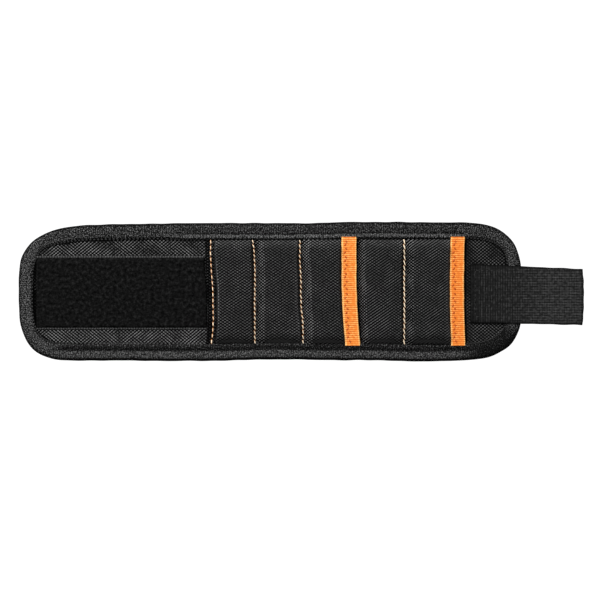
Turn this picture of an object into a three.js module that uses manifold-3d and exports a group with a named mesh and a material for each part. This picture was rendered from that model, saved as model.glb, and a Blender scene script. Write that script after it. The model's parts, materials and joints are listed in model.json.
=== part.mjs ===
// Magnetic wristband, lying flat with its outer face up.
//
// Millimetres, +Z up. X runs along the band from the loop tail (-X) to the strap (+X), Y runs across it.
// The origin is under the middle of the whole length, on the surface that the band lies on.
//
// Every cloth of the real band runs through its sewn fold lines. Here each cloth is cut at those lines,
// so that the lengths between them can turn on each other as the band closes round an arm.

import * as THREE from 'three';
import { mergeVertices } from 'three/addons/utils/BufferGeometryUtils.js';
import Module from 'manifold-3d';

const wasm = await Module();
wasm.setup();

// Lengths along the band, from the loop tail to the strap
const tailEndLength = 62.7;
const tailRootLength = 62.8;
const channel1Width = 27.6;
const channel2Width = 30.2;
const pocketAWidth = 37.1;
const channel4Width = 30.0;
const pocketBWidth = 39.5;
const tabLength = 36.4;
const strapLength = 40.7;

// The band's outline: its width, and the length and height of each rounded corner
const bandWidth = 90;
const upperLeftCorner = { length: 52, height: 30 };
const lowerLeftCorner = { length: 27, height: 31 };
const upperRightCorner = { length: 29, height: 31 };
const lowerRightCorner = { length: 34, height: 30 };

// Cloth thicknesses, from the arm outwards
const liningThickness = 3.0;
const shellThickness = 0.8;
const bindingThickness = 0.6;
const bindingWidth = 10;
const loopPatchThickness = 1.8;
const loopPatchWidth = 45.6;
const loopPatchShift = -0.8;

// Padded channel fronts, with two magnets under each
const frontThickness = 1.4;
const frontEdgeThickness = 0.8;
const seamMargin = 1.2;
const magnetDiameter = 16;
const magnetThickness = 2.5;
const magnetSpacing = 30;
const magnetRoom = 0.3;

// Pocket flaps: fronts 3 and 5, each with a backing and a ribbon folded round its free edge
const pocketGap = 0.3;
const backingThickness = 0.4;
const ribbonThickness = 0.4;
const ribbonWidth = 10;
const flapFoldRoom = 0.75;

// Strap: webbing sewn on the tab, with hook tape under its free length
const strapWidth = 37.5;
const strapShift = -2;
const webbingThickness = 1.2;
const hookTapeThickness = 1.2;
const hookTapeSetback = 4.6;
const strapAnchorSetback = 3.6;
const strapStepRoom = 1.5;

const threadDiameter = 0.9;
const threadRest = 0.1;

// Clearance between neighbours, the slit at each fold line, and the spare angle of each fold's notch
const clothGap = 0.3;
const foldGap = 0.3;
const foldSpare = 1;

// How far each fold turns when the band is closed round an arm, in degrees
const tailFoldAngle = 72.9;
const seam1Angle = 51.1;
const seam2Angle = 31.7;
const seam3Angle = 35.7;
const mouthAAngle = 34.6;
const seam4Angle = 35.7;
const mouthBAngle = 40.0;
const strapAngle = 58.2;

// Steps of the round stretches and of the padded grids
const cornerSteps = 6;
const magnetSides = 24;
const threadSides = 8;
const crownStepsAcross = 12;
const crownStepsAlong = 14;

// Levels above the surface that the band lies on
const liningLevel = bindingThickness;
const shellLevel = liningLevel + liningThickness;
const deckLevel = shellLevel + shellThickness;
const bindingTop = deckLevel + bindingThickness;
const cutReach = 40;

// Places of the fold lines along the band
const links = [
  { name: 'tail_end', length: tailEndLength, foldAngle: tailFoldAngle },
  { name: 'tail_root', length: tailRootLength, foldAngle: seam1Angle },
  { name: 'channel_1', length: channel1Width, foldAngle: seam2Angle },
  { name: 'channel_2', length: channel2Width, foldAngle: seam3Angle },
  { name: 'channel_3', length: pocketAWidth, foldAngle: mouthAAngle },
  { name: 'channel_4', length: channel4Width, foldAngle: seam4Angle },
  { name: 'channel_5', length: pocketBWidth, foldAngle: mouthBAngle },
  { name: 'tab', length: tabLength, foldAngle: 0 },
];
const bandLength = links.reduce((sum, link) => sum + link.length, 0);
const totalLength = bandLength + strapLength;
const bandLeft = -totalLength / 2;
const bandRight = bandLeft + bandLength;
const strapTip = bandRight + strapLength;

links.forEach((link, i) => {
  link.left = i === 0 ? bandLeft : links[i - 1].right;
  link.right = link.left + link.length;
  link.leftAngle = i === 0 ? 0 : links[i - 1].foldAngle;
  link.isFirst = i === 0;
  link.isLast = i === links.length - 1;
});
const linkOf = Object.fromEntries(links.map((link) => [link.name, link]));

// The space inside the binding, where the fronts lie
const frontHalfLength = bandWidth / 2 - bindingWidth - clothGap;

const finish = (color, roughness, metalness = 0) =>
  new THREE.MeshStandardMaterial({ color, roughness, metalness });
const shellCloth = finish(0x2b2b2c, 0.9);
const frontCloth = finish(0x2d2d2e, 0.85);
const bindingTape = finish(0x3a3a3b, 0.85);
const loopPile = finish(0x18181a, 1.0);
const spacerMesh = finish(0x222224, 0.95);
const orangeRibbon = finish(0xf68a2f, 0.6);
const orangeThread = finish(0xe9b070, 0.5);
const strapWebbing = finish(0x2c2c2d, 0.8);
const hookNylon = finish(0x1d1d1f, 0.6);
const backingCloth = finish(0x1f1f20, 0.9);
const nickel = finish(0xa8a8aa, 0.35, 1);

const band = new THREE.Group();

function addPiece(name, geometry, material) {
  const mesh = new THREE.Mesh(geometry, material);
  mesh.name = name;
  band.add(mesh);
}

// Booleans: a closed geometry as a solid, and a solid back as a geometry
function toSolid(geometry) {
  const bare = geometry.clone();
  bare.deleteAttribute('normal');
  bare.deleteAttribute('uv');
  const merged = mergeVertices(bare);
  const vertProperties = new Float32Array(merged.attributes.position.array);
  const triVerts = new Uint32Array(merged.index.array);
  return new wasm.Manifold(new wasm.Mesh({ numProp: 3, vertProperties, triVerts }));
}

function toGeometry(solid) {
  const mesh = solid.getMesh();
  const geometry = new THREE.BufferGeometry();
  geometry.setAttribute('position', new THREE.BufferAttribute(new Float32Array(mesh.vertProperties), 3));
  geometry.setIndex([...mesh.triVerts]);
  return geometry;
}

// The band's outline drawn in by a distance, with its four corners as quarter ellipses
function bandOutline(inset) {
  const left = bandLeft + inset;
  const right = bandRight - inset;
  const high = bandWidth / 2 - inset;
  const low = -high;
  const quarter = Math.PI / 2;
  const outline = new THREE.Shape();
  const addCorner = (corner, endX, endY, sideX, sideY, start) => {
    const length = corner.length - inset;
    const height = corner.height - inset;
    outline.absellipse(endX + sideX * length, endY + sideY * height, length, height, start, start + quarter);
  };
  addCorner(lowerLeftCorner, left, low, 1, 1, 2 * quarter);
  addCorner(lowerRightCorner, right, low, -1, 1, 3 * quarter);
  addCorner(upperRightCorner, right, high, -1, -1, 0);
  addCorner(upperLeftCorner, left, high, 1, -1, quarter);
  outline.closePath();
  return outline;
}

function layer(outline, low, high) {
  const settings = { depth: high - low, bevelEnabled: false, curveSegments: cornerSteps };
  return new THREE.ExtrudeGeometry(outline, settings).translate(0, 0, low);
}

function plate(left, right, width, low, high, shift = 0) {
  const box = new THREE.BoxGeometry(right - left, width, high - low);
  return box.translate((left + right) / 2, shift, (low + high) / 2);
}

// A section drawn in X and Z, carried across the band
function acrossBand(points, width, shift = 0) {
  const section = new THREE.Shape(points.map(([x, z]) => new THREE.Vector2(x, z)));
  const prism = new THREE.ExtrudeGeometry(section, { depth: width, bevelEnabled: false });
  return prism.rotateX(Math.PI / 2).translate(0, width / 2 + shift, 0);
}

const notchSlope = (foldAngle) => Math.tan(THREE.MathUtils.degToRad(foldAngle / 2 + foldSpare));

// The length between two fold lines: slits above each fold's axis, and half of its V notch below it
function linkCell(link) {
  const leftSlit = link.isFirst ? link.left - cutReach : link.left + foldGap / 2;
  const rightSlit = link.isLast ? link.right + cutReach : link.right - foldGap / 2;
  const notchDepth = deckLevel + clothGap;
  const leftNotch = link.isFirst ? 0 : notchDepth * notchSlope(link.leftAngle);
  const rightNotch = link.isLast ? 0 : notchDepth * notchSlope(link.foldAngle);
  const section = [
    [leftSlit, deckLevel + cutReach],
    [leftSlit, deckLevel],
    [leftSlit + leftNotch, deckLevel - notchDepth],
    [rightSlit - rightNotch, deckLevel - notchDepth],
    [rightSlit, deckLevel],
    [rightSlit, deckLevel + cutReach],
  ];
  return toSolid(acrossBand(section, bandWidth + cutReach));
}

// Whole cloths, before they are cut at the fold lines
const clothInset = bindingThickness + clothGap;
const windowInset = bindingWidth + clothGap;

const shell = toSolid(layer(bandOutline(clothInset), shellLevel, deckLevel));

const liningSwell = toSolid(layer(bandOutline(windowInset), 0, liningLevel));
const lining = toSolid(layer(bandOutline(clothInset), liningLevel, shellLevel)).add(liningSwell);

const bindingHollow = toSolid(layer(bandOutline(bindingThickness), liningLevel, deckLevel));
const bindingWindow = toSolid(layer(bandOutline(bindingWidth), -cutReach, cutReach));
const binding = toSolid(layer(bandOutline(0), 0, bindingTop)).subtract(bindingHollow).subtract(bindingWindow);

const loopPatchLeft = bandLeft + windowInset;
const loopPatchRight = linkOf.tail_root.right - clothGap;
const loopPatchTop = deckLevel + loopPatchThickness;
const loopPatchPlate = plate(
  loopPatchLeft, loopPatchRight, loopPatchWidth, deckLevel, loopPatchTop, loopPatchShift,
);
const insideBinding = toSolid(layer(bandOutline(windowInset), -cutReach, cutReach));
const loopPatch = toSolid(loopPatchPlate).intersect(insideBinding);

const halfBand = plate(bandLeft - cutReach, strapTip, bandWidth, -cutReach, cutReach, bandWidth / 2);
const upperHalf = toSolid(halfBand);
const lowerHalf = toSolid(halfBand.clone().translate(0, -bandWidth, 0));

for (const link of links) {
  const cell = linkCell(link);
  addPiece(`${link.name}_shell`, toGeometry(shell.intersect(cell)), shellCloth);
  addPiece(`${link.name}_lining`, toGeometry(lining.intersect(cell)), spacerMesh);
  const edge = binding.intersect(cell);
  if (link.isFirst || link.isLast) {
    addPiece(`${link.name}_binding`, toGeometry(edge), bindingTape);
  } else {
    addPiece(`${link.name}_binding_upper`, toGeometry(edge.intersect(upperHalf)), bindingTape);
    addPiece(`${link.name}_binding_lower`, toGeometry(edge.intersect(lowerHalf)), bindingTape);
  }
  if (link.name.startsWith('tail')) {
    addPiece(`${link.name}_loop_patch`, toGeometry(loopPatch.intersect(cell)), loopPile);
  }
}

// Padded fronts. The crown is 1 in the middle and falls to 0 at the sewn edges.
const spread = (from, to, steps) => Array.from({ length: steps + 1 }, (_, i) => from + ((to - from) * i) / steps);

function crown(front, x, y) {
  const middle = (front.crownLeft + front.crownRight) / 2;
  const across = Math.min(1, Math.abs(x - middle) / ((front.crownRight - front.crownLeft) / 2));
  const along = Math.min(1, Math.abs(y) / (frontHalfLength - seamMargin));
  return (1 - across ** 4) * (1 - along ** 6);
}

// The least crown over the rim of a magnet, so that the front clears it everywhere
function crownAtMagnet(front) {
  const middle = (front.crownLeft + front.crownRight) / 2;
  const radius = magnetDiameter / 2 + magnetRoom;
  const turns = spread(0, 2 * Math.PI, magnetSides);
  const heights = turns.map((a) =>
    crown(front, middle + radius * Math.cos(a), magnetSpacing / 2 + radius * Math.sin(a)));
  return Math.min(...heights);
}

// A crowned cloth: an outer and an inner grid over the same places, joined by a wall round the edge
function paddedFront(front) {
  const xs = [front.left, ...spread(front.crownLeft, front.crownRight, crownStepsAcross), front.right];
  const crownEnd = frontHalfLength - seamMargin;
  const ys = [-frontHalfLength, ...spread(-crownEnd, crownEnd, crownStepsAlong), frontHalfLength];
  const innerRise = (magnetThickness + magnetRoom) / crownAtMagnet(front);
  const outerRise = innerRise + frontThickness - frontEdgeThickness;
  const outer = xs.flatMap((x) =>
    ys.flatMap((y) => [x, y, front.base + frontEdgeThickness + outerRise * crown(front, x, y)]));
  const inner = xs.flatMap((x) => ys.flatMap((y) => [x, y, front.base + innerRise * crown(front, x, y)]));
  const count = xs.length * ys.length;
  const at = (i, j) => i * ys.length + j;
  const faces = [];
  const addQuad = (a, b, c, d) => faces.push(a, b, c, a, c, d);
  for (let i = 0; i < xs.length - 1; i += 1) {
    for (let j = 0; j < ys.length - 1; j += 1) {
      addQuad(at(i, j), at(i + 1, j), at(i + 1, j + 1), at(i, j + 1));
      addQuad(count + at(i, j), count + at(i, j + 1), count + at(i + 1, j + 1), count + at(i + 1, j));
    }
  }
  const addWall = (a, b) => addQuad(b, a, count + a, count + b);
  const lastX = xs.length - 1;
  const lastY = ys.length - 1;
  for (let i = 0; i < lastX; i += 1) {
    addWall(at(i, 0), at(i + 1, 0));
    addWall(at(i + 1, lastY), at(i, lastY));
  }
  for (let j = 0; j < lastY; j += 1) {
    addWall(at(0, j + 1), at(0, j));
    addWall(at(lastX, j), at(lastX, j + 1));
  }
  const geometry = new THREE.BufferGeometry();
  geometry.setAttribute('position', new THREE.Float32BufferAttribute([...outer, ...inner], 3));
  geometry.setIndex(faces);
  return geometry;
}

function addMagnets(name, front) {
  const middle = (front.crownLeft + front.crownRight) / 2;
  for (const [place, side] of [['upper', 1], ['lower', -1]]) {
    const disc = new THREE.CylinderGeometry(magnetDiameter / 2, magnetDiameter / 2, magnetThickness, magnetSides);
    disc.rotateX(Math.PI / 2).translate(middle, (side * magnetSpacing) / 2, front.base + magnetThickness / 2);
    addPiece(`${name}_magnet_${place}`, disc, nickel);
  }
}

// Closed channels: the front is sewn down on the shell at both fold lines
for (const name of ['channel_1', 'channel_2', 'channel_4']) {
  const left = linkOf[name].left + foldGap / 2;
  const right = linkOf[name].right - foldGap / 2;
  const front = { left, right, base: deckLevel, crownLeft: left + seamMargin, crownRight: right - seamMargin };
  addPiece(`${name}_front`, paddedFront(front), frontCloth);
  addMagnets(name, front);
}

// Pockets: the front is sewn at its left fold line only, and lifts at its ribbon
for (const [name, link] of [['pocket_a', linkOf.channel_3], ['pocket_b', linkOf.channel_5]]) {
  const ribbonBottom = deckLevel + pocketGap;
  const backingBottom = ribbonBottom + ribbonThickness;
  const base = backingBottom + backingThickness;
  const frontTop = base + frontEdgeThickness;
  const mouth = link.right - clothGap;
  const left = link.left + flapFoldRoom;
  const right = mouth - ribbonThickness - clothGap;
  const ribbonLeft = mouth - ribbonWidth;
  const front = { left, right, base, crownLeft: left + seamMargin, crownRight: ribbonLeft - seamMargin };
  addPiece(`${name}_front`, paddedFront(front), frontCloth);
  addMagnets(name, front);
  addPiece(`${name}_backing`, plate(left, right, 2 * frontHalfLength, backingBottom, base), backingCloth);
  const foldedRibbon = [
    [ribbonLeft, ribbonBottom],
    [mouth, ribbonBottom],
    [mouth, frontTop + ribbonThickness],
    [ribbonLeft, frontTop + ribbonThickness],
    [ribbonLeft, frontTop],
    [mouth - ribbonThickness, frontTop],
    [mouth - ribbonThickness, backingBottom],
    [ribbonLeft, backingBottom],
  ];
  addPiece(`${name}_ribbon`, acrossBand(foldedRibbon, 2 * frontHalfLength), orangeRibbon);
}

// Sewn lines: the thread lies on the flat strip of the front beside each fold line
const threadOffset = foldGap / 2 + seamMargin / 2;
const threadLevel = deckLevel + frontEdgeThickness + threadRest + threadDiameter / 2;
const seams = [
  { name: 'seam_1', x: linkOf.channel_1.left + threadOffset },
  { name: 'seam_2', x: linkOf.channel_1.right - threadOffset },
  { name: 'seam_3', x: linkOf.channel_2.right - threadOffset },
  { name: 'seam_4', x: linkOf.channel_4.right - threadOffset },
];
for (const seam of seams) {
  const radius = threadDiameter / 2;
  const thread = new THREE.CylinderGeometry(radius, radius, 2 * (frontHalfLength - seamMargin), threadSides);
  addPiece(`${seam.name}_thread`, thread.translate(seam.x, 0, threadLevel), orangeThread);
}

// Strap: the anchor lies on the tab's shell and steps up over the binding at its end
const anchorLeft = linkOf.tab.left + strapAnchorSetback;
const stepTop = bandRight - bindingWidth - strapStepRoom;
const stepFoot = stepTop - strapStepRoom;
const anchorRight = bandRight - foldGap / 2;
const anchorSection = [
  [anchorLeft, deckLevel],
  [stepFoot, deckLevel],
  [stepTop, bindingTop],
  [anchorRight, bindingTop],
  [anchorRight, bindingTop + webbingThickness],
  [stepTop, bindingTop + webbingThickness],
  [stepFoot, deckLevel + webbingThickness],
  [anchorLeft, deckLevel + webbingThickness],
];
addPiece('tab_strap_anchor', acrossBand(anchorSection, strapWidth, strapShift), strapWebbing);

// The free strap turns about the top of its webbing, so its near end is cut back below that line
const strapTop = bindingTop + webbingThickness;
const strapNear = bandRight + foldGap / 2;
const strapCutBack = webbingThickness * Math.tan(THREE.MathUtils.degToRad(strapAngle + foldSpare));
const strapSection = [
  [strapNear, strapTop],
  [strapNear + strapCutBack, bindingTop],
  [strapTip, bindingTop],
  [strapTip, strapTop],
];
addPiece('strap_webbing', acrossBand(strapSection, strapWidth, strapShift), strapWebbing);

const hookLeft = strapNear + hookTapeSetback;
const hookBottom = bindingTop - hookTapeThickness;
addPiece(
  'strap_hook_tape',
  plate(hookLeft, strapTip, strapWidth, hookBottom, bindingTop, strapShift),
  hookNylon,
);

export default band;
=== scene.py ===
"""Looks of a magnetic wristband, lying flat with its outer face up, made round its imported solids.

X runs along the band, Y across it and Z up. Sizes are in millimetres, and a mesh is made in metres.
"""
import json
import math

import bpy
import numpy as np
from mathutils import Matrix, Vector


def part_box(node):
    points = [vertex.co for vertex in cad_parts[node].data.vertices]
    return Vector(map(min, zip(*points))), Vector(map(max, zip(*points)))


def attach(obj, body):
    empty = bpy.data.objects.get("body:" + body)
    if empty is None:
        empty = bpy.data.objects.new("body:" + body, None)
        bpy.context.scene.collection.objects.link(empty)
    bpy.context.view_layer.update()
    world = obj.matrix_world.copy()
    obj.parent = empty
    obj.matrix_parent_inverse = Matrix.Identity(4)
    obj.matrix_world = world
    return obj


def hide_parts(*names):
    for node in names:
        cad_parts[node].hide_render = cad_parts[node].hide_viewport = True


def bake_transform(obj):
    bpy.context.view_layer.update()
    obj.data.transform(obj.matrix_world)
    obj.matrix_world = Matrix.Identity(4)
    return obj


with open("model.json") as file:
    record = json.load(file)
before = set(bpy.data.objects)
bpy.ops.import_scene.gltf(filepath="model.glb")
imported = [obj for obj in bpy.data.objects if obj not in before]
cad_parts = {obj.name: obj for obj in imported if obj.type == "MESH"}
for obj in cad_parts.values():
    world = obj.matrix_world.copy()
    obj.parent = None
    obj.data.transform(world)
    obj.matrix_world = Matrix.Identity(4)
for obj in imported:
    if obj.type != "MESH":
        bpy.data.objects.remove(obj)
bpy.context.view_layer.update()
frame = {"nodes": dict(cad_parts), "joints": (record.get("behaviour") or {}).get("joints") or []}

MM = 0.001
SHARP_ANGLE = math.radians(50)
UP = (0.0, 0.0, 1.0)
ALONG = (1.0, 0.0, 0.0)
WHITE = (1.0, 1.0, 1.0, 1.0)

# The links of the band and the folds between them, from the left. The frame gives where they lie.
LINKS = ("tail_end", "tail_root", "channel_1", "channel_2", "channel_3", "channel_4", "channel_5", "tab")
FOLDS = ("wrap_tail", "wrap_seam_1", "wrap_seam_2", "wrap", "wrap_mouth_a", "wrap_seam_4", "wrap_mouth_b")
LAST_FOLD = len(FOLDS) - 1
HINGE = {joint["name"]: np.array(joint["pos_m"]) / MM for joint in frame["joints"]}


def span(node):
    """Lowest and highest corners of a CAD node, in millimetres."""
    low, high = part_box(node)
    return np.array(low) / MM, np.array(high) / MM


BAND_LEFT = span("tail_end_binding")[0][0]
BAND_RIGHT = span("tab_binding")[1][0]
BAND_HALF = span("tail_end_binding")[1][1]
DECK = HINGE["wrap"][2]
FOLD_X = [HINGE[name][0] for name in FOLDS]
CUT_X = [BAND_LEFT, *[(a + b) / 2 for a, b in zip(FOLD_X, FOLD_X[1:])], BAND_RIGHT]

# The four corners of the band, as (length, height, fullness) of a superellipse's quarter.
UPPER_RIGHT = (39.0, 37.0, 2.7)
UPPER_LEFT = (77.0, 45.0, 3.55)
LOWER_LEFT = (40.0, 45.0, 3.2)
LOWER_RIGHT = (41.0, 31.0, 2.5)

# How far the sewn edge strays past the half width, as (place along the band, distance outwards).
UPPER_STRAY = ((-118, -1.75), (-60, -1.0), (12, -0.9), (28, -0.45), (60, -0.35), (111, -0.8))
LOWER_STRAY = ((-118, -0.3), (-60, -0.1), (-14, -1.1), (17, -0.6), (50, -0.5), (69, 0.2), (111, -0.5))

# Binding: a tape folded round the edge, as (distance in from the edge, height) of its inner face, with its
# thickness outside. Above, from its inner edge to the fold, it lies plain round the ends, with its lower
# right corner in painted shade, and is ridged over the padding along the two sides.
PLAIN_TAPE = (
    (9.0, 4.35), (8.85, 4.7), (8.2, 5.0), (7.0, 5.2), (5.6, 5.3), (4.4, 5.25), (3.2, 5.0), (1.9, 4.5),
    (0.7, 3.75), (0.0, 2.8),
)
TAPE_ABOVE = {
    "plain": PLAIN_TAPE,
    "shade": PLAIN_TAPE,
    "upper": (
        (10.3, 4.7), (10.2, 5.6), (9.9, 6.05), (9.2, 5.85), (8.4, 5.4), (7.7, 4.75), (7.3, 4.1), (6.95, 4.4),
        (6.2, 4.7), (4.8, 5.0), (3.4, 5.25), (2.2, 5.25), (1.2, 4.7), (0.4, 3.8), (0.0, 2.8),
    ),
    "lower": (
        (10.0, 4.7), (9.85, 5.6), (9.2, 6.05), (8.4, 5.8), (7.4, 5.15), (6.5, 4.7), (5.95, 4.5), (5.6, 4.5),
        (4.8, 4.75), (3.6, 5.15), (2.4, 5.3), (1.3, 4.9), (0.4, 3.9), (0.0, 2.8),
    ),
}
TAPE_BELOW = (
    (0.0, 2.8), (0.15, 1.8), (0.8, 1.05), (2.2, 0.65), (4.2, 0.6), (7.2, 0.6), (8.3, 0.8), (8.9, 0.95),
    (9.5, 0.8), (10.0, 0.6),
)

# How much paler the tape is painted above, as (distance in from the edge, painted light): painted shade at
# the fold, in creases, at the inner edge and on the lower side's inner band, painted light on its bands and
# ridges, and painted shade all over in the shade corner. Its bite is how much more its grain stands out.
TAPE_PAINTED_LIGHT = {
    "plain": ((0.0, -2.8), (0.8, -2.4), (1.5, 0.2), (7.6, 0.5), (9.0, 0.4), (9.4, -1.0)),
    "upper": (
        (0.0, -3.2), (0.9, -2.8), (1.5, -0.2), (6.6, -0.2), (7.1, -2.6), (7.7, 1.1), (9.5, 1.1), (10.2, -1.0),
    ),
    "lower": ((0.0, -3.6), (0.8, -3.2), (1.4, 0.9), (5.5, 0.8), (6.1, -0.7), (6.6, -0.9), (9.6, -0.7)),
    "shade": ((0.0, -3.6), (0.8, -3.2), (1.6, -2.0), (7.6, -1.7), (9.2, -2.4)),
}
TAPE_BITE = {"plain": 0.0, "upper": -0.1, "lower": -0.35, "shade": -0.4}
# The tape's thickness, and the width of it that shows on one face.
TAPE_THICKNESS = 0.5
TAPE_SHOWS = 10.0

# How much narrower the tape shows where the outline turns, as the turn of its normal in degrees from the
# upper side: (share, width of the turn). The first and last are the upper corners, the middle one is the
# left end.
TAPE_DRAWN_IN = {34: (0.19, 24), 97: (0.125, 42), -62: (0.2, 38)}

# The binding's stitches, as (distance in from the edge, height), and their pitch and (length, width,
# height).
TAPE_SEWN_ABOVE = {"plain": (9.9, 4.8), "shade": (9.9, 4.8), "upper": (11.0, 5.2), "lower": (10.6, 5.0)}
TAPE_SEWN_BELOW = (8.9, 0.4)
TAPE_STITCH_PITCH = 2.6
TAPE_STITCH = (1.8, 0.95, 0.5)

# Sewn lines: the fold of each, and where it strays from it, as (place across the band, distance to the
# right).
SEAMS = {
    "seam_1": (
        "wrap_seam_1",
        ((-34.7, -0.47), (-26.5, 0.54), (-8.0, 0.7), (3.0, 0.5), (12.0, -0.32), (20.0, -0.77), (33.9, -0.8)),
    ),
    "seam_2": (
        "wrap_seam_2",
        ((-34.7, 0.36), (-9.0, 0.2), (14.0, 0.32), (24.0, -0.16), (30.0, -0.69), (33.9, -1.24)),
    ),
    "seam_3": (
        "wrap",
        (
            (-34.7, 1.33), (-20.0, 1.25), (-11.0, 0.3), (-4.0, 0.03), (8.0, -0.02), (21.0, -0.67),
            (33.9, -0.55),
        ),
    ),
    "seam_4": (
        "wrap_seam_4",
        ((-34.7, -0.1), (-22.0, 0.1), (-6.0, 0.14), (5.0, 0.02), (14.0, 0.1), (33.9, 0.15)),
    ),
}
SEAM_BODY = {"seam_1": "channel_1", "seam_2": "channel_1", "seam_3": "channel_2", "seam_4": "channel_4"}
SEAM_BOTTOM, SEAM_TOP = -34.7, 33.9

# Their stitches: pitch, length, girth, height, slant in degrees, and how much paler the thread is painted,
# a painted light on threads that lie in the shade of the fronts.
SEAM_PITCH = {"seam_1": 3.8, "seam_2": 3.15, "seam_3": 3.2, "seam_4": 3.5}
SEAM_STITCH = {"seam_1": 3.9, "seam_2": 3.6, "seam_3": 3.75, "seam_4": 4.4}
SEAM_GIRTH = {"seam_1": 0.78, "seam_2": 0.76, "seam_3": 0.75, "seam_4": 0.8}
SEAM_HEIGHT = 0.9
SEAM_SLANT = {"seam_1": 5.0, "seam_2": 15.0, "seam_3": 18.0, "seam_4": 16.0}
SEAM_PAINTED_LIGHT = {"seam_1": -0.03, "seam_2": 0.06, "seam_3": 0.12, "seam_4": 0.5}

# Fronts: crowned cloth over the magnets, a groove away from the sewn lines, with a thin edge all round. Each
# has the widths of its left and right flank, of the flat rims outside them, and the height of a crease on its
# left shoulder. The flanks and the slopes at the two ends rise by the powers that are called fullness.
FRONT_BOTTOM, FRONT_TOP = -34.5, 33.6
FRONT_EDGE = 0.4
GROOVE = 1.0
FLANKS = {
    "channel_1": (1.1, 0.9), "channel_2": (5.4, 0.9), "pocket_a": (5.6, 1.2),
    "channel_4": (4.6, 0.9), "pocket_b": (4.6, 1.2),
}
RIMS = {"channel_1": (1.3, 0.0), "pocket_a": (0.0, 0.6), "pocket_b": (0.0, 0.6)}
CREASE = {"channel_1": 0.4, "channel_2": 0.25, "pocket_a": 0.25}
FLANK_FULLNESS = 1.8
END_SLOPE = 6.5
END_FULLNESS = 1.7

# Stitches pull the sewn edges of a front down: how deep, how far in, and their pitch there.
STITCH_PULL, PULL_REACH, DIMPLE_PITCH = 0.35, 2.2, 3.4

# Painted light on the fronts' cloth: how much more the weave bites on the left flank, and how much paler
# the flank, its shoulder and the right edge are painted: painted shade on the flank, a painted highlight on
# the shoulder and painted light at the right edge. The left edge has a painted shade, as (painted light,
# reach), and the upper end painted light, as (painted light, place across the band, reach).
FRONT_PAINTED_LIGHT = {
    "channel_1": (0.3, -0.1, 1.4, 0.15),
    "channel_2": (2.4, -0.7, 0.6, 0.4),
    "pocket_a": (2.4, -0.5, 0.6, 0.15),
    "channel_4": (1.9, -0.62, 0.3, 0.15),
    "pocket_b": (1.8, -0.75, 0.2, 0.4),
}
LEFT_EDGE_SHADE = (-0.9, 1.7)
UPPER_END_LIGHT = (0.26, 32.0, 2.6)

# Hollow at a front's lower end: its place across the band, how much lower it bends at the sides, its half
# height and depth; and the painted light and the bite of its cloth, which lift the hollow's shade and
# flatten its weave.
HOLLOW = (-32.2, 2.2, 1.5, 0.5)
HOLLOW_PAINTED_LIGHT = (0.28, -0.9)

# Cloth simulation of the fronts: metres that stand for a millimetre, frames, and the way a point may go, in
# mm.
SIM_SCALE = 0.05
SIM_FRAMES = 20
SIM_CAP = 0.7

# The two pockets: the channel that each lies on, and the sewn line where it begins. Each is made in two
# halves.
POCKETS = {"pocket_a": ("channel_3", "seam_3"), "pocket_b": ("channel_5", "seam_4")}
HALVES = {"upper": 1, "lower": -1}

# Ribbons of the pocket mouths: strays of the left edge, and the width that shows; how much paler each is
# worn.
RIBBONS = {
    "pocket_a": (((-35.3, 2.1), (-17.4, 0.55), (0.0, -0.27), (35.3, -0.45)), 9.75),
    "pocket_b": (((-35.3, 1.25), (-12.0, 0.47), (6.0, 0.37), (20.0, 0.47), (35.3, 0.9)), 9.2),
}
RIBBON_WEAR = {"pocket_a": 0.3, "pocket_b": 0.0}
RIBBON_HALF = 35.3
RIBBON_THICKNESS = 0.4
RIB_PITCH = 1.3
RIB_HEIGHT = 0.06
# Width of the ribbons' pattern, to which the UV map of both is drawn.
RIBBON_UV = 9.8

# Strap: places across the band of its middle line, as (place along, place across), and its half widths.
STRAP_MIDDLE = ((110.0, -1.4), (183.5, -3.8))
STRAP_HALF = ((110.0, 19.2), (183.5, 18.2))


def smoothstep(low, high, value):
    """Rises from 0 at low to 1 at high with level ends: 3 t squared less 2 t cubed."""
    t = np.clip((value - low) / (high - low), 0, 1)
    return t * t * (3 - 2 * t)


def bell(distance, reach):
    """Falls from 1 on a line to nothing on both sides of it: e to the less square of the distance over the
    reach."""
    return np.exp(-(distance / reach) ** 2)


def curve(knots, at):
    """Smooth line through a few (place, value) knots: cubics whose slopes are the knots' mean slopes."""
    place, value = np.array(sorted(knots), float).T
    slope = np.gradient(value, place)
    at = np.clip(at, place[0], place[-1])
    k = np.clip(np.searchsorted(place, at) - 1, 0, len(place) - 2)
    step = place[k + 1] - place[k]
    t = (at - place[k]) / step
    start = (1 + 2 * t) * (1 - t) ** 2 * value[k] + t * (1 - t) ** 2 * step * slope[k]
    return start + t * t * (3 - 2 * t) * value[k + 1] + t * t * (t - 1) * step * slope[k + 1]


def ripple(u, v, wavelength, seed):
    """Uneven swell within about -1 and 1: the mean of seven sine waves near one length, in seeded
    directions."""
    draw = np.random.default_rng(seed)
    turn = draw.uniform(0, 2 * np.pi, 7)
    wave = 2 * np.pi / (wavelength * draw.uniform(0.7, 1.5, 7))
    phase = draw.uniform(0, 2 * np.pi, 7)
    u, v = np.broadcast_arrays(u, v)
    swell = np.sin((u[..., None] * np.cos(turn) + v[..., None] * np.sin(turn)) * wave + phase)
    return 2 * swell.mean(axis=-1)


def points(x, y, z):
    """Array of points from coordinates of any shapes that fit together."""
    return np.stack(np.broadcast_arrays(x, y, z), axis=-1).astype(float)


def pairs(u, v):
    """Array of pairs, such as places on a UV map, from two arrays of any shapes that fit together."""
    return np.stack(np.broadcast_arrays(u, v), axis=-1).astype(float)


def show(name, data):
    """A new object in the scene with a mesh, a lamp or a lens."""
    made = bpy.data.objects.new(name, data)
    bpy.context.scene.collection.objects.link(made)
    return made


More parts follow.
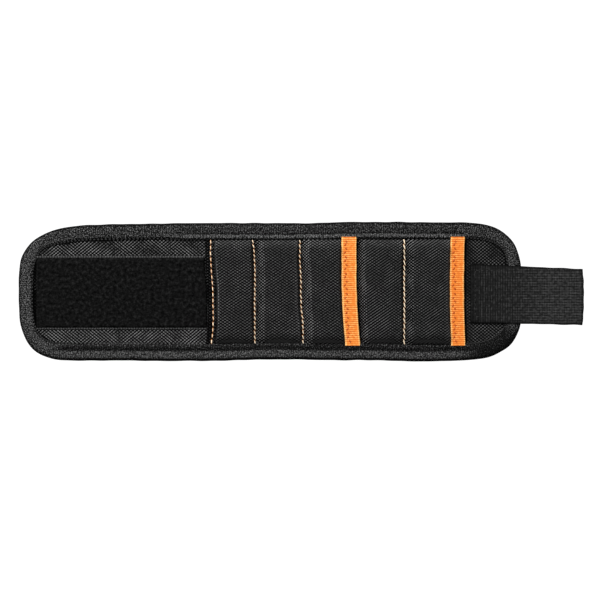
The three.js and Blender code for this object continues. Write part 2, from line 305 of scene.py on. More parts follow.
def skin(rows, ring):
    """Quads of a row of rings, as (row, place on the ring) of their corners: each ring is joined to the
    next, and each end is shut by quads from the first half of its ring to the second, point to point."""
    i, j = np.meshgrid(np.arange(rows - 1), np.arange(ring), indexing="ij")
    row = np.stack([i, i + 1, i + 1, i], -1).reshape(-1, 4)
    col = np.stack([j, j, j + 1, j + 1], -1).reshape(-1, 4)
    k = np.arange(ring // 2 - 1)
    end = np.stack([k, k + 1, ring - 2 - k, ring - 1 - k], -1)
    row = np.concatenate([row, np.zeros_like(end), np.full_like(end, rows - 1)])
    col = np.concatenate([col, end, end[:, ::-1]])
    return row, col


def make_piece(name, rings, uv, finish, painted_light_and_wear=0.0, bite=0.0):
    """Closed mesh through rings of points (copy, row, ring, xyz), its faces turned out by the sign of its
    volume. The UV map holds millimetres along the rows and round the ring, one more place than the ring.
    Painted light and wear is how much paler each point is, from painted light and shade or from wear, and
    bite how much more its weave stands out."""
    rings = rings.reshape(-1, *rings.shape[-3:])
    copies, rows, ring = rings.shape[:3]
    row, col = skin(rows, ring)
    index = row * ring + col % ring
    a, b, c, d = (rings[0].reshape(-1, 3)[index[:, n]] for n in range(4))
    if (a * (np.cross(b, c) + np.cross(c, d))).sum() < 0:
        row, col, index = row[:, ::-1], col[:, ::-1], index[:, ::-1]
    faces = (index + np.arange(copies)[:, None, None] * rows * ring).reshape(-1, 4)
    corners = np.broadcast_to(uv, (copies, rows, ring + 1, 2))[:, row, col]
    mesh = bpy.data.meshes.new(name)
    mesh.from_pydata((rings.reshape(-1, 3) * MM).tolist(), [], faces.tolist())
    layer = mesh.uv_layers.new(name="cloth_mm")
    layer.data.foreach_set("uv", corners.astype(np.float32).ravel())
    for marks, value in {"painted_light_and_wear": painted_light_and_wear, "bite": bite}.items():
        value = np.broadcast_to(value, rings.shape[:-1]).astype(np.float32)
        mesh.attributes.new(marks, "FLOAT", "POINT").data.foreach_set("value", value.ravel())
    mesh.polygons.foreach_set("use_smooth", np.ones(len(faces), bool))
    mesh.set_sharp_from_angle(angle=SHARP_ANGLE)
    mesh.materials.append(finish)
    return show(name, mesh)


def slab(top, bottom):
    """Rings of a cloth with two faces: a row's points on the top, then those on the bottom run back."""
    return np.concatenate([top, bottom[:, ::-1]], axis=1)


def both_faces(value):
    """Values of a slab's top sheet, and the same ones for its underside."""
    return np.concatenate([value, value[:, ::-1]], axis=1)


def flat_uv(rings):
    """UV of a cloth that lies flat: the place along and across the band, closed at the ring's first
    point."""
    return np.concatenate([rings[..., :2], rings[:, :1, :2]], axis=1)


def linear(colour):
    """An sRGB hex colour as linear red, green, blue and full alpha."""
    share = np.array([int(colour[n:n + 2], 16) for n in (1, 3, 5)]) / 255
    return (*np.where(share <= 0.04045, share / 12.92, ((share + 0.055) / 1.055) ** 2.4), 1.0)


def add(tree, kind, sockets=None, **settings):
    """Adds a node with its settings; a socket takes a value, or a link from an output or a node's first
    one."""
    made = tree.nodes.new("ShaderNode" + kind)
    for name, value in settings.items():
        setattr(made, name, value)
    for key, value in (sockets or {}).items():
        if isinstance(value, bpy.types.Node):
            value = value.outputs[0]
        if isinstance(value, bpy.types.NodeSocket):
            tree.links.new(value, made.inputs[key])
        else:
            made.inputs[key].default_value = value
    return made


def calc(tree, operation, *values):
    """Adds a node that works out one number from others."""
    return add(tree, "Math", dict(enumerate(values)), operation=operation)


def ranged(tree, value, low, high, start=0.0, end=1.0):
    """Adds a node that turns a value's range from low to high into one from start to end, and holds it
    there."""
    return add(tree, "MapRange", {0: value, 1: low, 2: high, 3: start, 4: end})


def noise(tree, place, scale, detail, **more):
    """Adds a cloudy noise with so many swells in a unit of the place."""
    return add(tree, "TexNoise", {"Vector": place, "Scale": scale, "Detail": detail, **more})


def sine_of(tree, uv, step_u, step_v):
    """Wave of a pattern along the cloth: the sine of the UV place, with so many turns in each
    millimetre."""
    turns = (2 * math.pi * step_u, 2 * math.pi * step_v, 0)
    along = add(tree, "VectorMath", {0: uv, 1: turns}, operation="DOT_PRODUCT")
    return calc(tree, "SINE", along.outputs["Value"])


def mark(tree, name):
    """Reads one of the marks that a piece's points carry."""
    return add(tree, "Attribute", attribute_name=name).outputs["Fac"]


def painted_and_worn(tree, height):
    """A pattern's height, lifted by the painted light and wear of the piece."""
    return calc(tree, "ADD", height, mark(tree, "painted_light_and_wear"))


def bitten(tree, height, middle):
    """A pattern's height, stretched about its middle by the bite of the piece."""
    over = calc(tree, "SUBTRACT", height, middle)
    return calc(tree, "MULTIPLY_ADD", over, mark(tree, "bite"), height)


def shader_of(material):
    """The shader of a material."""
    return material.node_tree.nodes["Principled BSDF"]


def start_material(name, **sockets):
    """A new material with the uniform sockets of its shader set, and its node tree."""
    made = bpy.data.materials.new(name)
    made.use_nodes = True
    for key, value in sockets.items():
        socket = key.replace("_", " ").title().replace("Ior", "IOR")
        shader_of(made).inputs[socket].default_value = value
    return made, made.node_tree


def start_cloth(name, roughness, gloss):
    """A new material of a cloth or thread, its node tree, and the place on the cloth in millimetres."""
    made, tree = start_material(name, roughness=roughness, specular_ior_level=gloss)
    return made, tree, add(tree, "UVMap", uv_map="cloth_mm")


def finish_material(made, shades, height, depth):
    """Joins a pattern to a material: its height gives the shade, through (place, colour) stops, and the
    bump."""
    tree = made.node_tree
    ramp = add(tree, "ValToRGB", {0: height})
    stops = ramp.color_ramp.elements
    while len(stops) < len(shades):
        stops.new(0.5)
    for stop, (place, colour) in zip(stops, shades):
        stop.position = place
        stop.color = linear(colour)
    bump = add(tree, "Bump", {"Height": height, "Distance": depth * MM, "Strength": 1.0})
    tree.links.new(ramp.outputs[0], shader_of(made).inputs["Base Color"])
    tree.links.new(bump.outputs[0], shader_of(made).inputs["Normal"])
    return made


def pack_cloth(name, shades, yarns, zone, climbing, relief=(0.6, 1.7)):
    """Black pack cloth: nylon in a basket weave, dull. The eye sees rows of pale humps of yarn with black
    holes between them, which climb in some zones and fall in others, paler where painted light and wear
    lift it, with deeper holes where it has more bite. yarns is the repeat along and across, zone the zones'
    width and height, climbing the least and most that climbing rows prevail, from 0 to 1, and relief the
    least and greatest height of the humps."""
    made, tree, uv = start_cloth(name, 0.85, 0.02)
    climb = sine_of(tree, uv, 1 / yarns[0], -1 / yarns[1])
    fall = sine_of(tree, uv, 1 / yarns[0], 1 / yarns[1])
    zones = add(tree, "Mapping", {"Vector": uv, "Scale": (1 / zone[0], 1 / zone[1], 1.0)})
    share = ranged(tree, noise(tree, zones, 1.0, 0.0), 0.38, 0.62, *climbing)
    weave = add(tree, "Mix", {0: share, 2: fall, 3: climb})
    faint = {"Vector": uv, "W": 4.0, "Scale": 1 / 8.0, "Detail": 1.0}
    plain = ranged(tree, add(tree, "TexNoise", faint, noise_dimensions="4D"), 0.35, 0.65, *relief)
    humps = calc(tree, "MULTIPLY", weave, plain)
    rough = calc(tree, "MULTIPLY_ADD", noise(tree, uv, 0.9, 2.0), 1.6, humps)
    height = ranged(tree, painted_and_worn(tree, bitten(tree, rough, 0.8)), -0.1, 2.5)
    return finish_material(made, shades, height, 0.4)


def binding_tape():
    """Binding tape: polypropylene in a close weave, dusty grey-black. The eye sees fine pale grains and
    black pits, drawn out across the tape along its faint ribs, and dark lines of painted shade where its
    painted light is below zero."""
    made, tree, uv = start_cloth("polypropylene_binding_tape", 0.85, 0.02)
    ribs = sine_of(tree, uv, 1 / 1.45, 0.0)
    drawn = add(tree, "Mapping", {"Vector": uv, "Scale": (1.7, 1.1, 1.0)})
    grain = noise(tree, drawn, 1.0, 0.5, Distortion=0.5)
    rough = calc(tree, "MULTIPLY_ADD", grain, 26.0, ribs)
    height = ranged(tree, painted_and_worn(tree, bitten(tree, rough, 13.0)), 8.8, 17.8)
    return finish_material(made, ((0.0, "#020202"), (0.5, "#191919"), (1.0, "#606060")), height, 0.2)


def loop_pile():
    """Loop fabric: brushed nylon loops, near black and soft, with faint lighter clouds where the pile
    leans."""
    made, tree, uv = start_cloth("brushed_nylon_loop", 0.95, 0.02)
    height = ranged(tree, noise(tree, uv, 0.45, 3.0, Roughness=0.75), 0.34, 0.7)
    return finish_material(made, ((0.0, "#030303"), (0.5, "#0f0f0f"), (1.0, "#212121")), height, 0.35)


def loop_selvedge():
    """Selvedge of the loop fabric: nylon woven close without pile, dusty grey, with a rib at each pick."""
    made, tree, uv = start_cloth("woven_nylon_selvedge", 0.85, 0.02)
    ribs = sine_of(tree, uv, 1 / 1.7, 0.0)
    rough = calc(tree, "MULTIPLY_ADD", noise(tree, uv, 0.5, 2.0), 4.0, ribs)
    height = ranged(tree, rough, 0.4, 4.0)
    return finish_material(made, ((0.0, "#161616"), (0.5, "#363636"), (1.0, "#5a5a5a")), height, 0.12)


def spacer_mesh():
    """Spacer mesh: polyester knitted with six-sided eyelets, dark grey yarn round black holes. The eyelets
    are the product of three sines, a third of a half turn apart."""
    made, tree, uv = start_cloth("polyester_spacer_mesh", 0.8, 0.2)
    pitch = 3.2
    first = sine_of(tree, uv, 1 / pitch, 0.0)
    second = sine_of(tree, uv, 0.5 / pitch, 0.866 / pitch)
    third = sine_of(tree, uv, 0.5 / pitch, -0.866 / pitch)
    eyelets = calc(tree, "MULTIPLY", calc(tree, "MULTIPLY", first, second), third)
    rough = calc(tree, "MULTIPLY_ADD", noise(tree, uv, 1.6, 2.0), 0.25, eyelets)
    height = ranged(tree, rough, -0.25, 0.35)
    return finish_material(made, ((0.0, "#060606"), (0.4, "#1a1a1a"), (1.0, "#3c3c3c")), height, 0.6)


def orange_grosgrain():
    """Grosgrain ribbon: polyester with a rib at each weft, bright orange, deeper between the ribs, with a
    painted highlight along its selvedge and its folded edge."""
    made, tree, uv = start_cloth("polyester_grosgrain_orange", 0.7, 0.1)
    ribs = sine_of(tree, uv, 1 / RIB_PITCH, 0.0)
    relief = ranged(tree, noise(tree, uv, 0.16, 0.0), 0.4, 0.6, 0.4, 1.5)
    clear = calc(tree, "MULTIPLY", ribs, relief)
    rough = calc(tree, "MULTIPLY_ADD", noise(tree, uv, 0.6, 3.0), 5.0, clear)
    across = add(tree, "SeparateXYZ", {0: uv}).outputs["Y"]
    # Painted highlight along both edges of the ribbon.
    edge = calc(tree, "PINGPONG", across, RIBBON_UV / 2)
    edge_highlighted = calc(tree, "ADD", rough, ranged(tree, edge, 1.3, 0.7, 0.0, 2.4))
    height = ranged(tree, painted_and_worn(tree, edge_highlighted), 0.6, 5.6)
    return finish_material(made, ((0.0, "#bc581a"), (0.5, "#dc7d30"), (1.0, "#fdbf74")), height, 0.1)


def orange_thread():
    """Bonded thread: thick polyester, orange, with a pale painted highlight on its crest and a rust painted
    shade on its sides and where it dips.
    """
    made, tree, uv = start_cloth("bonded_polyester_thread", 0.5, 0.3)
    place = add(tree, "SeparateXYZ", {0: uv})
    away = calc(tree, "ABSOLUTE", place.outputs["X"])
    aside = calc(tree, "ABSOLUTE", calc(tree, "SUBTRACT", place.outputs["Y"], 1.0))
    # Painted shade on the thread's sides and where its ends dip, and a painted highlight on its crest.
    side = ranged(tree, aside, 0.3, 1.0, 0.0, 0.6)
    crest_highlight = painted_and_worn(tree, ranged(tree, away, 0.7, 1.85, 1.0, 0.0))
    height = calc(tree, "SUBTRACT", crest_highlight, side)
    return finish_material(made, ((0.0, "#341a08"), (0.5, "#c07424"), (1.0, "#ffeacb")), height, 0.05)


def fine_thread(name, roughness, gloss, dark, pale):
    """Sewing thread: fine twisted polyester with a slight gloss, its turns a sine along and round it."""
    made, tree, uv = start_cloth(name, roughness, gloss)
    height = ranged(tree, sine_of(tree, uv, 1.2, 0.5), -1.0, 1.0)
    return finish_material(made, ((0.0, dark), (1.0, pale)), height, 0.04)


def strap_webbing():
    """Strap webbing: nylon in a tight plain weave, flat black. The eye sees a faint grid of cords and
    picks, paler towards the free end, dark along its edges, and with a painted shadow where its sewn end
    begins.
    The yarns are drawn coarser than the real ones, which are too fine to show."""
    made, tree, uv = start_cloth("nylon_strap_webbing", 0.85, 0.02)
    cords = sine_of(tree, uv, 0.0, 1 / 1.7)
    picks = sine_of(tree, uv, 1 / 1.6, 0.0)
    along = add(tree, "SeparateXYZ", {0: uv}).outputs["X"]
    free = ranged(tree, along, 132.0, 146.0, 0.2, 0.7)
    mixed_grid = add(tree, "Mix", {0: free, 2: picks, 3: cords})
    relief = ranged(tree, noise(tree, uv, 0.3, 1.0), 0.35, 0.65, 0.1, 1.7)
    grid = calc(tree, "MULTIPLY", mixed_grid, relief)
    rough = calc(tree, "MULTIPLY_ADD", noise(tree, uv, 0.5, 3.0), 5.0, grid)
    paler_share = ranged(tree, along, 125.0, 160.0, 0.0, 0.9)
    # Painted shadow where the strap's sewn end begins.
    painted_end_shadow = ranged(tree, along, 109.0, 117.0, -1.1, 0.0)
    paler = calc(tree, "ADD", rough, calc(tree, "ADD", paler_share, painted_end_shadow))
    height = ranged(tree, painted_and_worn(tree, paler), 0.0, 5.4)
    return finish_material(made, ((0.0, "#080808"), (0.5, "#1a1a1a"), (1.0, "#404040")), height, 0.15)


def hook_nylon():
    """Hook tape: moulded nylon, black, with a soft plastic gloss and a woven ground."""
    made, tree, uv = start_cloth("nylon_hook_tape", 0.45, 0.4)
    pitch = 0.8
    grid = calc(tree, "MULTIPLY", sine_of(tree, uv, 1 / pitch, 0.0), sine_of(tree, uv, 0.0, 1 / pitch))
    height = ranged(tree, grid, -1.0, 1.0)
    return finish_material(made, ((0.0, "#0b0b0b"), (1.0, "#1d1d1d")), height, 0.05)


def nickel_plating():
    """Nickel plating on a sintered magnet: bright warm grey, finely scuffed by handling."""
    made, tree = start_material("nickel_plating", metallic=1.0)
    scuff = noise(tree, add(tree, "TexCoord").outputs["Object"], 900.0, 4.0)
    rough = ranged(tree, scuff, 0.3, 0.7, 0.22, 0.4)
    tree.links.new(rough.outputs[0], shader_of(made).inputs["Roughness"])
    return finish_material(made, ((0.0, "#a9a59c"), (1.0, "#cfccc4")), ranged(tree, scuff, 0.3, 0.7), 0.01)


def light_table():
    """White light table: a dull even white, lit from inside."""
    made, tree = start_material(
        "white_light_table", roughness=0.9, specular_ior_level=0.0,
        emission_color=WHITE, emission_strength=1.0,
    )
    grain = noise(tree, add(tree, "TexCoord").outputs["Object"], 300.0, 2.0)
    return finish_material(made, ((0.0, "#4e4e4e"), (1.0, "#525252")), grain, 0.01)


# Shades of the pack cloth: the shell's are the palest, the fronts' are for their cloth, which takes painted
# light and shade, and the dim ones are a painted shade on the tab and the backing.
SHELL_SHADES = ((0.0, "#000000"), (0.38, "#0c0c0c"), (0.77, "#626262"), (1.0, "#7c7c7c"))
FRONT_SHADES = ((0.0, "#000000"), (0.27, "#0a0a0a"), (0.46, "#292929"), (0.75, "#424242"), (1.0, "#686868"))
DIM_SHADES = ((0.0, "#000000"), (0.38, "#0f0f0f"), (0.77, "#4a4a4a"), (1.0, "#5c5c5c"))
SHELL_CLOTH = pack_cloth("pack_cloth_shell", SHELL_SHADES, (2.5, 2.05), (13.0, 8.0), (0.3, 0.74))
TAB_CLOTH = pack_cloth("pack_cloth_tab", DIM_SHADES, (2.5, 2.05), (7.0, 20.0), (0.36, 0.62))
FRONT_CLOTH = pack_cloth("pack_cloth_front", FRONT_SHADES, (2.86, 1.9), (3.6, 10.0), (0.4, 0.62), (0.9, 1.6))
TWILL_CLOTH = pack_cloth("pack_cloth_twill", FRONT_SHADES, (2.75, 1.87), (8.0, 23.0), (0.5, 0.84), (0.9, 1.6))
BACKING_CLOTH = pack_cloth("pack_cloth_backing", DIM_SHADES, (2.4, 2.1), (8.0, 23.0), (0.3, 0.7))
BINDING_TAPE = binding_tape()
LOOP_PILE = loop_pile()
SELVEDGE = loop_selvedge()
SPACER_MESH = spacer_mesh()
GROSGRAIN = orange_grosgrain()
ORANGE_THREAD = orange_thread()
# Black thread of the band, and the ribbons' orange one, painted rust as a painted shade where it has sunk
# into the ribs.
BLACK_THREAD = fine_thread("polyester_thread_black", 0.55, 0.3, "#040404", "#1a1a1a")
RUST_THREAD = fine_thread("polyester_thread_rust", 0.6, 0.25, "#8e3606", "#c25a14")
WEBBING = strap_webbing()
HOOK_NYLON = hook_nylon()
NICKEL = nickel_plating()
LIGHT_TABLE = light_table()


def bend(piece):
    """Bakes a piece's transform into its mesh."""
    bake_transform(piece)


def stray(x, y):
    """How far the edge's waviness moves a point across the band: all of it at the edge, none on the
    middle."""
    share = y / BAND_HALF
    return np.where(share > 0, curve(UPPER_STRAY, x), curve(LOWER_STRAY, x)) * share


def corner(size, turn):
    """Quarter of a superellipse from its right end up: length and height times powers of cosine and
    sine."""
    length, height, fullness = size
    along = length * (np.clip(np.cos(turn), 0, 1) ** (2 / fullness) - 1)
    up = height * (np.clip(np.sin(turn), 0, 1) ** (2 / fullness) - 1)
    return along, up


def band_outline():
    """The band's edge, run anticlockwise from the middle of its right end: four superellipse corners joined
    by straight stretches, moved by the edge's stray. Gives points, normals inwards and lengths, at even
    steps."""
    step = 0.25
    turn = np.linspace(0, np.pi / 2, 600)
    right_up, right_low = corner(UPPER_RIGHT, turn), corner(LOWER_RIGHT, turn[::-1])
    left_up, left_low = corner(UPPER_LEFT, turn[::-1]), corner(LOWER_LEFT, turn)
    x = np.concatenate([
        [BAND_RIGHT], BAND_RIGHT + right_up[0], BAND_LEFT - left_up[0],
        BAND_LEFT - left_low[0], BAND_RIGHT + right_low[0], [BAND_RIGHT],
    ])
    y = np.concatenate([
        [0], BAND_HALF + right_up[1], BAND_HALF + left_up[1],
        -BAND_HALF - left_low[1], -BAND_HALF - right_low[1], [0],
    ])
    length = np.append(0, np.cumsum(np.hypot(np.diff(x), np.diff(y))))
    even = np.linspace(0, length[-1], int(length[-1] / step))
    x, y = np.interp(even, length, x), np.interp(even, length, y)
    line = pairs(x, y + stray(x, y))
    return line, left_of(line), even


def left_of(line):
    """Directions to the left of a line at each of its points, one long."""
    ahead = np.gradient(line, axis=0)
    return pairs(-ahead[:, 1], ahead[:, 0]) / np.linalg.norm(ahead, axis=1)[:, None]


EDGE, EDGE_INWARD, EDGE_LENGTH = band_outline()
ON_TOP = EDGE[:, 1] > 0
ON_BOTTOM = EDGE[:, 1] < 0


def edge_at(length):
    """Points of the band's outline at lengths along it, and the normals inwards there."""
    line, inward = (
        np.stack([np.interp(length, EDGE_LENGTH, value[:, n]) for n in (0, 1)], -1)
        for value in (EDGE, EDGE_INWARD)
    )
    return line, inward / np.linalg.norm(inward, axis=1)[:, None]


def upper_length(x):
    """Length along the outline where its upper run passes a place along the band."""
    return float(np.interp(-x, -EDGE[ON_TOP, 0], EDGE_LENGTH[ON_TOP]))


def lower_length(x):
    """Length along the outline where its lower run passes a place along the band."""
    return float(np.interp(x, EDGE[ON_BOTTOM, 0], EDGE_LENGTH[ON_BOTTOM]))


def panel_grid(k, step, inset, count):
    """Grid of a panel over fold piece k, cut on the outline set in by a distance: places along and across
    the band, depths in from the outline, and the panel's flat size in metres and area in square metres."""
    first = CUT_X[k] + (inset if k == 0 else 0)
    last = CUT_X[k + 1] - (inset if k == LAST_FOLD else 0)
    x = np.linspace(first, last, int((last - first) / step) + 2)
    line = EDGE + EDGE_INWARD * inset
    upper = np.interp(-x, -line[ON_TOP, 0], line[ON_TOP, 1])
    lower = np.interp(x, line[ON_BOTTOM, 0], line[ON_BOTTOM, 1])
    y = lower[:, None] + (upper - lower)[:, None] * np.linspace(0, 1, count)
    depth = inset + np.minimum(y - lower[:, None], upper[:, None] - y)
    flat = (MM * float(last - first), MM * float((upper - lower).max()))
    area = MM * MM * float(np.trapz(upper - lower, x))
    return x[:, None], y, depth, flat, area


def nodes_of(k, *endings):
    """CAD nodes that fold piece k stands for: those of the link on its left, and at the right end the
    tab's."""
    links = [LINKS[k]] + ([LINKS[-1]] if k == LAST_FOLD else [])
    names = [link + ending for link in links for ending in endings]
    return [node for node in names if node in frame["nodes"]]


def make_shell():
    """Base shell: pack cloth between the bindings. Its top lies on the deck, dips under the binding and
    swells a little where nothing is sewn on it. Its weave is flat between ribbon b and the strap's end, and
    it carries a painted shadow close to the ribbons and to the plain tape, and is a little paler on the lower
    half."""
    inset, thickness, dip, swell = 4.0, 0.6, 1.2, 0.18
    painted_shadow, flattest = -1.5, -0.5
    for k, fold in enumerate(FOLDS):
        x, y, depth, flat, area = panel_grid(k, 1.0, inset, 121)
        height = DECK - dip * (1 - smoothstep(4, 9.8, depth))
        height += swell * ripple(x, y, 26.0, 3) * smoothstep(9, 14, depth)
        rings = slab(points(x, y, height), points(x, y, height - thickness))
        cloth = TAB_CLOTH if k == LAST_FOLD else SHELL_CLOTH
        past_ribbon = {pocket: x - ribbon_right(pocket, y) for pocket in RIBBONS}
        # Painted shadow beside the plain tape and each ribbon; the lower half is a little paler.
        painted_light_and_wear = 0.1 * smoothstep(0, -10, y) + painted_shadow * beside_tape(x, y)
        for past in past_ribbon.values():
            painted_light_and_wear = painted_light_and_wear + painted_shadow * smoothstep(-3, 0, past) * (1 - smoothstep(0.4, 1.6, past))
        past = past_ribbon["pocket_b"]
        bite = flattest * smoothstep(-3, 0, past) * (1 - smoothstep(4, 7, past))
        panel = make_piece(f"shell_{fold}", rings, flat_uv(rings), cloth, both_faces(painted_light_and_wear), both_faces(bite))
        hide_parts(*nodes_of(k, "_shell"))
        hems = [make_hem()] if fold == "wrap_seam_1" else []
        bend(panel)


def beside_tape(x, y):
    """How close points lie to the inner edge of the plain tape, from 0 to 1: a bell over the distance in
    from the nearest point of the outline, which reaches on to the loop patch at the left end."""
    every = slice(None, None, 4)
    line, inward = EDGE[every], EDGE_INWARD[every]
    away = np.linalg.norm(pairs(x, y)[..., None, :] - line, axis=-1)
    nearest = away.argmin(axis=-1)
    at_left = smoothstep(0.9, 1.0, inward[:, 0])
    edge = TAPE_SHOWS * tape_narrowing(inward)[:, 0] + 1.0 * at_left
    reach = 0.75 + 0.9 * at_left
    close = bell(away.min(axis=-1) - edge[nearest], reach[nearest])
    return close * tape_shares(line, inward)["plain"][nearest]


def make_hem():
    """Hem of the front panel: its left edge, turned under and laid flat on the shell beside the first sewn
    line. Its cloth is painted darker, as painted shade."""
    middle, half = 2.2, 1.5
    y = np.linspace(SEAM_BOTTOM, SEAM_TOP, 90)[:, None]
    share = np.linspace(-1, 1, 11)[None, :]
    x = seam_x("seam_1", y) - middle + share * half
    top = DECK + 0.3 + 0.5 * np.sqrt(1 - share ** 8)
    rings = slab(points(x, y, top), points(x, y, DECK - 0.3))
    # Painted shade on the hem's cloth.
    hem = make_piece("front_panel_hem", rings, flat_uv(rings), FRONT_CLOTH, painted_light_and_wear=-0.7)
    bend(hem)
    return hem


def make_lining():
    """Padded lining: the face on the arm swells between the binding and the sewn lines, which draw it
    up."""
    inset, top, thinnest = 4.5, DECK - 2.0, 0.4
    sewn = np.array([HINGE[joint][0] for joint, _ in SEAMS.values()])
    for k, fold in enumerate(FOLDS):
        x, y, depth, _, _ = panel_grid(k, 1.2, inset, 61)
        valley = bell(x - sewn, 2.4).sum(axis=1)[:, None]
        inside = smoothstep(9.0, 13.0, depth)
        face = 0.05 + 1.3 * (1 - inside) + 1.0 * valley * inside
        face = face + 0.1 * (1 + ripple(x, y, 22.0, 5))
        rings = slab(points(x, y, top), points(x, y, np.minimum(face, top - thinnest)))
        pad = make_piece(f"lining_{fold}", rings, flat_uv(rings), SPACER_MESH)
        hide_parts(*nodes_of(k, "_lining"))
        bend(pad)


def smooth_line(knots, count):
    """Smooth open line through a few points, with count points evenly along it."""
    knots = np.array(knots, float)
    length = np.append(0, np.cumsum(np.linalg.norm(np.diff(knots, axis=0), axis=1)))
    even = np.linspace(0, length[-1], count)
    return np.stack([curve(zip(length, knots[:, n]), even) for n in (0, 1)], -1)


def thickened(line, thickness):
    """Closed ring of a thin strip: the line, then the same line moved to its left by a thickness, run
    back."""
    return np.concatenate([line, (line + left_of(line) * thickness)[::-1]])


def ring_lengths(ring):
    """Length round a closed ring at each point, with the full length last."""
    return np.append(0, np.cumsum(np.linalg.norm(np.diff(np.append(ring, ring[:1], 0), axis=0), axis=1)))


def stitches(name, centre, along, size, finish, dip=0.3, painted_light_and_wear=0.0, up=UP):
    """Sewn stitches in one mesh: each is a bean of (length, width, height) whose girth is an upright
    superellipse along its length and whose ends dip into the cloth with the square of the way out. Its UV
    map runs from -2 to 2 along each stitch, and in quarter turns round it. Painted light and wear are given
    for each stitch."""
    length, width, height = size
    along, up = (np.broadcast_to(vector, centre.shape) for vector in (along, up))
    way = np.linspace(-1, 1, 7)[:, None, None]
    turn = (np.arange(8) / 8 * 2 * np.pi)[None, :, None]
    girth = np.sqrt(np.clip(1 - np.abs(way) ** 3, 0.03, 1))
    side = np.cross(up, along)
    centre, along, side, up = (vector[:, None, None, :] for vector in (centre, along, side, up))
    rings = centre + along * way * length / 2 + side * girth * np.cos(turn) * width / 2
    rings = rings + up * (girth * np.sin(turn) * height / 2 - dip * way ** 2)
    uv = pairs(way[:, :, 0] * 2, np.arange(9)[None, :] / 2)
    return make_piece(name, rings, uv, finish, np.reshape(painted_light_and_wear, (-1, 1, 1)))


def binding_strips(k):
    """Stretches of the binding over fold piece k, as endings of their names and lengths along the
    outline."""
    if k == 0:
        return {"": (upper_length(CUT_X[1]), lower_length(CUT_X[1]))}
    if k == LAST_FOLD:
        return {"_upper": (0.0, upper_length(CUT_X[k])), "_lower": (lower_length(CUT_X[k]), EDGE_LENGTH[-1])}
    return {
        "_upper": (upper_length(CUT_X[k + 1]), upper_length(CUT_X[k])),
        "_lower": (lower_length(CUT_X[k]), lower_length(CUT_X[k + 1])),
    }


def tape_shares(line, inward):
    """Shares of the tape's lines along the outline, which add up to 1: the upper one over the fronts, the
    lower one along the lower side between its corners, the one in painted shade at its right end, and
    elsewhere the plain one."""
    over_fronts = smoothstep(-100.0, -66.0, line[:, 0]) * (1 - smoothstep(100.0, 112.0, line[:, 0]))
    upper = smoothstep(0.6, 0.97, -inward[:, 1]) * over_fronts
    at_right = smoothstep(98.0, 124.0, line[:, 0])
    lower = smoothstep(0.6, 0.97, inward[:, 1]) * smoothstep(-167.0, -152.0, line[:, 0]) * (1 - at_right)
    shade = smoothstep(0.1, 0.6, inward[:, 1]) * at_right
    return {"plain": 1 - upper - lower - shade, "upper": upper, "lower": lower, "shade": shade}


def tape_narrowing(inward):
    """How much narrower the tape shows along the outline: 1 less a bell over each turn where it is drawn
    in."""
    turn = np.degrees(np.arctan2(inward[:, :1], -inward[:, 1:]))
    return 1 - sum(share * bell(turn - middle, wide) for middle, (share, wide) in TAPE_DRAWN_IN.items())


def mixed(shares, values):
    """Sum of named values by their shares at each station."""
    return sum(
        share[(...,) + (None,) * np.ndim(values[name])] * np.array(values[name])
        for name, share in shares.items()
    )


def make_binding():
    """Binding: the folded tape's line carried along the outline, mixed from its upper forms, with its
    surface drawn in at each stitch, and the row of stitches through both its faces."""
    below = smooth_line(TAPE_BELOW, 20)
    above = {name: smooth_line(knots, 46) for name, knots in TAPE_ABOVE.items()}
    profiles = {
        name: thickened(np.concatenate([part[:-1], below]), -TAPE_THICKNESS) for name, part in above.items()
    }
    lengths = {name: ring_lengths(profile) for name, profile in profiles.items()}
    # Painted light and shade of each form of the tape, on its upper face.
    painted_light_and_wear = {
        name: np.where(profile[:, 1] > DECK / 2, np.interp(profile[:, 0], *np.array(TAPE_PAINTED_LIGHT[name]).T), 0.0)
        for name, profile in profiles.items()
    }
    for k, joint in enumerate(FOLDS):
        for ending, (start, end) in binding_strips(k).items():
            even = np.linspace(start, end, int((end - start) / 0.6) + 2)
            line, inward = edge_at(even)
            shares = tape_shares(line, inward)
            profile = mixed(shares, profiles)
            depth, height = profile[..., 0], profile[..., 1]
            sewn_in = mixed(shares, TAPE_SEWN_ABOVE)[:, :1]
            past_sewn = depth - np.where(height > DECK / 2, sewn_in, TAPE_SEWN_BELOW[0])
            drawn = bell(past_sewn + 0.9, 0.8) * np.sign(height - DECK / 2)
            swell = np.sin(2 * np.pi * even / TAPE_STITCH_PITCH)[:, None]
            pucker = 0.1 * swell * drawn
            scallop = 0.08 * swell * smoothstep(-2.0, -0.5, past_sewn)
            across = depth * tape_narrowing(inward) + 0.15 * ripple(even[:, None], depth, 17.0, 8) + scallop
            rings = points(
                line[:, :1] + inward[:, :1] * across,
                line[:, 1:] + inward[:, 1:] * across,
                height + pucker,
            )
            uv = pairs(even[:, None], mixed(shares, lengths))
            # Painted light and shade: the forms' own, paler and darker in turn at each stitch where the tape
            # is drawn in, and painted shade on the plain tape along the upper side.
            tape_painted_light = mixed(shares, painted_light_and_wear) + 1.2 * swell * np.maximum(drawn, 0)
            tape_painted_light = tape_painted_light - (0.8 * shares["plain"] * smoothstep(0.6, 1.0, -inward[:, 1]))[:, None]
            bite = mixed(shares, TAPE_BITE)[:, None]
            tape = make_piece(f"binding_{joint}{ending}", rings, uv, BINDING_TAPE, tape_painted_light, bite)
            both = ("_binding", "_binding" + ending)
            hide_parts(*nodes_of(k, *(both if ending != "_lower" else both[1:])))
            bend(tape)
            row = np.arange(start + TAPE_STITCH_PITCH / 2, end - TAPE_STITCH_PITCH / 4, TAPE_STITCH_PITCH)
            sew_binding(f"binding_stitches_{joint}{ending}", row)


